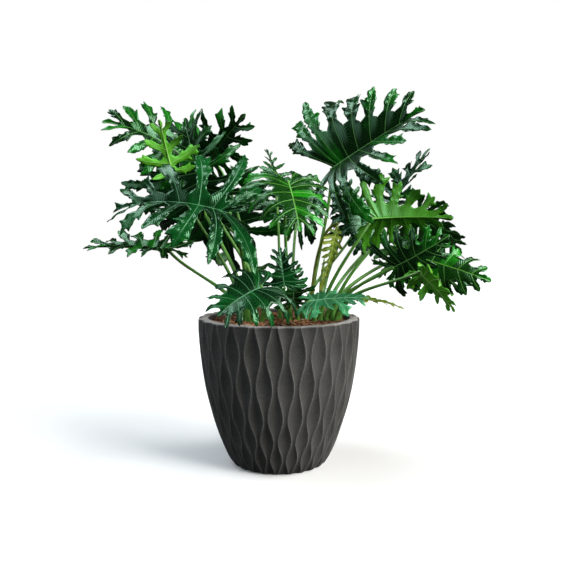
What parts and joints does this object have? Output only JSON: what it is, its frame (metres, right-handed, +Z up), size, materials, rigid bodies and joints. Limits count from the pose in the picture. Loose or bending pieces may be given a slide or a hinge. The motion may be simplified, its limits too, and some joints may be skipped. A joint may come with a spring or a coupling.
{
  "type": "potted tree philodendron",
  "caption": "Tree philodendron with large, deeply cut glossy leaves on long stalks, in a round tapered charcoal planter with a waved relief and bark mulch.",
  "frame": {"origin": "centre of the pot's flat base, on the floor, on the pot's own axis", "axes": "+Z up along the pot's axis, -Y towards the side seen in the picture, +X to its right"},
  "size_m": [1.0672, 0.6538, 0.9486],
  "materials": {
    "planter": "matt charcoal cast stone with a lighter grey rim",
    "soil": "dark crumbly potting mix",
    "bark": "reddish brown bark chips",
    "crown_bark": "rough brown stem",
    "new_leaf": "satin yellow green",
    "stalk_green": "satin green",
    "stalk_yellow": "satin yellow green",
    "leaf_green": "glossy deep green with pale veins",
    "leaf_dark": "glossy very dark green",
    "leaf_blue_green": "glossy blue green",
    "leaf_pale": "glossy light blue green",
    "leaf_light": "satin bright green",
    "leaf_lime": "satin lime green underside",
    "leaf_yellow": "satin yellow green"
  },
  "bodies": {
    "root": {"pot": "planter", "potting_soil": "soil", "bark_mulch": "bark", "crown_right": "crown_bark", "crown_left": "crown_bark", "crown_centre": "crown_bark", "new_leaf_right": "new_leaf", "new_leaf_left": "new_leaf", "stalk_upper_left": "stalk_green", "blade_upper_left": "leaf_green", "stalk_lime_left": "stalk_green", "blade_lime_left": "leaf_lime", "stalk_upper_centre_left": "stalk_green", "blade_upper_centre_left": "leaf_green", "stalk_broad_left": "stalk_green", "blade_broad_left": "leaf_blue_green", "stalk_level_left": "stalk_green", "blade_level_left": "leaf_green", "stalk_mid_left": "stalk_green", "blade_mid_left": "leaf_dark", "stalk_front_centre": "stalk_green", "blade_front_centre": "leaf_light", "stalk_small_centre": "stalk_green", "blade_small_centre": "leaf_dark", "stalk_upper_right": "stalk_green", "blade_upper_right": "leaf_green", "stalk_light_right": "stalk_green", "blade_light_right": "leaf_light", "stalk_dark_right_back": "stalk_green", "blade_dark_right_back": "leaf_dark", "stalk_drooping_right": "stalk_green", "blade_drooping_right": "leaf_blue_green", "stalk_back_right_top": "stalk_green", "blade_back_right_top": "leaf_dark", "stalk_right_upper": "stalk_green", "blade_right_upper": "leaf_green", "stalk_right_outer": "stalk_green", "blade_right_outer": "leaf_light", "stalk_right_lime": "stalk_green", "blade_right_lime": "leaf_lime", "stalk_right_back_drooping": "stalk_green", "blade_right_back_drooping": "leaf_dark", "stalk_narrow_right": "stalk_green", "blade_narrow_right": "leaf_yellow", "stalk_front_left_low": "stalk_green", "blade_front_left_low": "leaf_blue_green", "stalk_front_small": "stalk_green", "blade_front_small": "leaf_blue_green", "stalk_front_right_low": "stalk_green", "blade_front_right_low": "leaf_pale", "stalk_dark_centre": "stalk_green", "blade_dark_centre": "leaf_dark", "stalk_twisted_yellow": "stalk_yellow", "blade_twisted_yellow": "leaf_yellow", "stalk_back_left": "stalk_green", "blade_back_left": "leaf_dark", "stalk_back_centre": "stalk_green", "blade_back_centre": "leaf_dark", "stalk_back_right": "stalk_green", "blade_back_right": "leaf_dark"}
  },
  "joints": []
}
